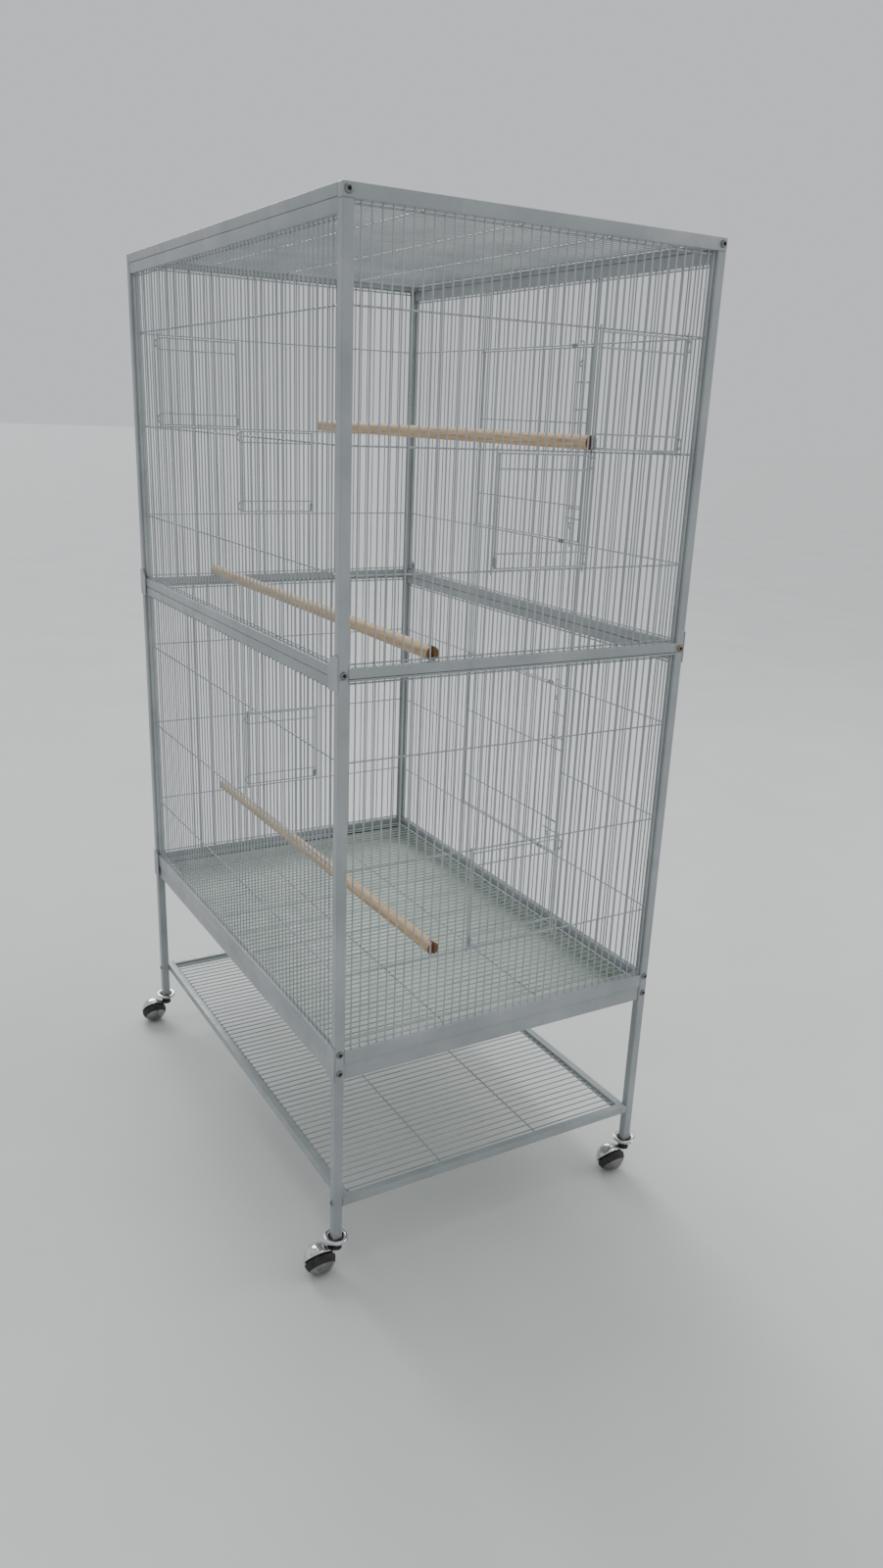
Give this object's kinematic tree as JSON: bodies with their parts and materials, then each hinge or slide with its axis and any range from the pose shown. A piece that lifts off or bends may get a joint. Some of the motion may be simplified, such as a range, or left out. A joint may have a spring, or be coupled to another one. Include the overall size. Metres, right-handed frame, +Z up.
{
  "type": "wire bird cage on rolling stand",
  "caption": "Tall two-tier wire flight cage with hinged front and feeder doors, wooden perches and a pull-out tray, on a rolling stand with a wire shelf.",
  "frame": {"origin": "centre of the whole footprint, on the floor", "axes": "+Z up, +X along the long side, front with the large doors facing -Y"},
  "size_m": [0.822, 0.5705, 1.346],
  "materials": {
    "painted_steel": "powder coated, light hammered grey",
    "painted_wire": "powder coated, satin grey",
    "tray_plastic": "matt, pale grey-green",
    "perch_wood": "bare turned softwood",
    "caster_chrome": "polished"
  },
  "bodies": {
    "cage": {"post_upper_back_left": "painted_steel", "post_upper_back_right": "painted_steel", "post_upper_front_left": "painted_steel", "post_upper_front_right": "painted_steel", "post_lower_back_left": "painted_steel", "post_lower_back_right": "painted_steel", "post_lower_front_left": "painted_steel", "post_lower_front_right": "painted_steel", "leg_back_left": "painted_steel", "leg_back_right": "painted_steel", "leg_front_left": "painted_steel", "leg_front_right": "painted_steel", "back_panel_upper": "painted_steel", "back_panel_lower": "painted_steel", "front_panel_upper": "painted_steel", "front_panel_lower": "painted_steel", "left_end_upper": "painted_steel", "left_end_lower": "painted_steel", "right_end_upper": "painted_steel", "right_end_lower": "painted_steel", "roof_panel": "painted_steel", "floor_grate": "painted_steel", "storage_shelf": "painted_steel", "tray_band": "painted_steel", "connector_belt_back_left": "painted_steel", "connector_belt_back_right": "painted_steel", "connector_belt_front_left": "painted_steel", "connector_belt_front_right": "painted_steel", "connector_base_back_left": "painted_steel", "connector_base_back_right": "painted_steel", "perch_upper": "perch_wood", "perch_middle": "perch_wood", "perch_lower": "perch_wood", "caster_flange_back_left": "caster_chrome", "caster_flange_back_right": "caster_chrome", "caster_flange_front_left": "caster_chrome", "caster_flange_front_right": "caster_chrome"},
    "front_door_upper": {"front_door_upper": "painted_wire"},
    "front_latch_upper": {"front_latch_upper": "painted_wire"},
    "front_door_lower": {"front_door_lower": "painted_wire"},
    "front_latch_lower": {"front_latch_lower": "painted_wire"},
    "feeder_door_left_high": {"feeder_door_left_high": "painted_wire"},
    "feeder_door_left_middle": {"feeder_door_left_middle": "painted_wire"},
    "feeder_door_left_low": {"feeder_door_left_low": "painted_wire"},
    "feeder_door_right_high": {"feeder_door_right_high": "painted_wire"},
    "feeder_door_right_middle": {"feeder_door_right_middle": "painted_wire"},
    "feeder_door_right_low": {"feeder_door_right_low": "painted_wire"},
    "tray": {"tray_floor": "tray_plastic", "tray_back": "tray_plastic", "tray_left": "tray_plastic", "tray_right": "tray_plastic", "tray_front": "tray_plastic"},
    "caster_swivel_back_left": {"caster_hood_back_left": "caster_chrome"},
    "caster_wheel_back_left": {"caster_wheel_back_left": "caster_chrome"},
    "caster_swivel_back_right": {"caster_hood_back_right": "caster_chrome"},
    "caster_wheel_back_right": {"caster_wheel_back_right": "caster_chrome"},
    "caster_swivel_front_left": {"caster_hood_front_left": "caster_chrome"},
    "caster_wheel_front_left": {"caster_wheel_front_left": "caster_chrome"},
    "caster_swivel_front_right": {"caster_hood_front_right": "caster_chrome"},
    "caster_wheel_front_right": {"caster_wheel_front_right": "caster_chrome"}
  },
  "joints": [
    {"name": "front_door_upper_hinge", "type": "hinge", "parent": "cage", "child": "front_door_upper", "pos_m": [0.14835, -0.26925, 1.0922], "axis": [0, 0, 1], "range_deg": [0, 100]},
    {"name": "front_latch_upper_slide", "type": "slide", "parent": "front_door_upper", "child": "front_latch_upper", "axis": [0, 0, 1], "range_m": [0, 0.01]},
    {"name": "front_door_lower_hinge", "type": "hinge", "parent": "cage", "child": "front_door_lower", "pos_m": [0.14835, -0.26925, 0.59125], "axis": [0, 0, 1], "range_deg": [0, 100]},
    {"name": "front_latch_lower_slide", "type": "slide", "parent": "front_door_lower", "child": "front_latch_lower", "axis": [0, 0, 1], "range_m": [0, 0.01]},
    {"name": "feeder_door_left_high_hinge", "type": "hinge", "parent": "cage", "child": "feeder_door_left_high", "pos_m": [-0.3895, -0.23225, 1.16225], "axis": [0, 0, 1], "range_deg": [0, 100]},
    {"name": "feeder_door_left_middle_hinge", "type": "hinge", "parent": "cage", "child": "feeder_door_left_middle", "pos_m": [-0.3895, -0.09585, 1.02215], "axis": [0, 0, 1], "range_deg": [0, 100]},
    {"name": "feeder_door_left_low_hinge", "type": "hinge", "parent": "cage", "child": "feeder_door_left_low", "pos_m": [-0.3895, -0.09145, 0.52135], "axis": [0, 0, 1], "range_deg": [0, 100]},
    {"name": "feeder_door_right_high_hinge", "type": "hinge", "parent": "cage", "child": "feeder_door_right_high", "pos_m": [0.3895, 0.20175, 1.16225], "axis": [0, 0, 1], "range_deg": [0, 100]},
    {"name": "feeder_door_right_middle_hinge", "type": "hinge", "parent": "cage", "child": "feeder_door_right_middle", "pos_m": [0.3895, 0.06535, 1.02215], "axis": [0, 0, 1], "range_deg": [0, 100]},
    {"name": "feeder_door_right_low_hinge", "type": "hinge", "parent": "cage", "child": "feeder_door_right_low", "pos_m": [0.3895, 0.06095, 0.52135], "axis": [0, 0, 1], "range_deg": [0, 100]},
    {"name": "tray_slide", "type": "slide", "parent": "cage", "child": "tray", "axis": [0, -1, 0], "range_m": [0, 0.46]},
    {"name": "caster_swivel_back_left_pivot", "type": "hinge", "parent": "cage", "child": "caster_swivel_back_left", "pos_m": [-0.3885, 0.23775, 0.0225], "axis": [0, 0, 1], "continuous": true},
    {"name": "caster_wheel_back_left_spin", "type": "hinge", "parent": "caster_swivel_back_left", "child": "caster_wheel_back_left", "pos_m": [-0.3885, 0.26275, 0.0225], "axis": [-0.8192, 0, -0.5736], "continuous": true},
    {"name": "caster_swivel_back_right_pivot", "type": "hinge", "parent": "cage", "child": "caster_swivel_back_right", "pos_m": [0.3885, 0.23775, 0.0225], "axis": [0, 0, 1], "continuous": true},
    {"name": "caster_wheel_back_right_spin", "type": "hinge", "parent": "caster_swivel_back_right", "child": "caster_wheel_back_right", "pos_m": [0.3885, 0.26275, 0.0225], "axis": [-0.8192, 0, -0.5736], "continuous": true},
    {"name": "caster_swivel_front_left_pivot", "type": "hinge", "parent": "cage", "child": "caster_swivel_front_left", "pos_m": [-0.3885, -0.26825, 0.0225], "axis": [0, 0, 1], "continuous": true},
    {"name": "caster_wheel_front_left_spin", "type": "hinge", "parent": "caster_swivel_front_left", "child": "caster_wheel_front_left", "pos_m": [-0.3885, -0.24325, 0.0225], "axis": [-0.8192, 0, -0.5736], "continuous": true},
    {"name": "caster_swivel_front_right_pivot", "type": "hinge", "parent": "cage", "child": "caster_swivel_front_right", "pos_m": [0.3885, -0.26825, 0.0225], "axis": [0, 0, 1], "continuous": true},
    {"name": "caster_wheel_front_right_spin", "type": "hinge", "parent": "caster_swivel_front_right", "child": "caster_wheel_front_right", "pos_m": [0.3885, -0.24325, 0.0225], "axis": [-0.8192, 0, -0.5736], "continuous": true}
  ]
}
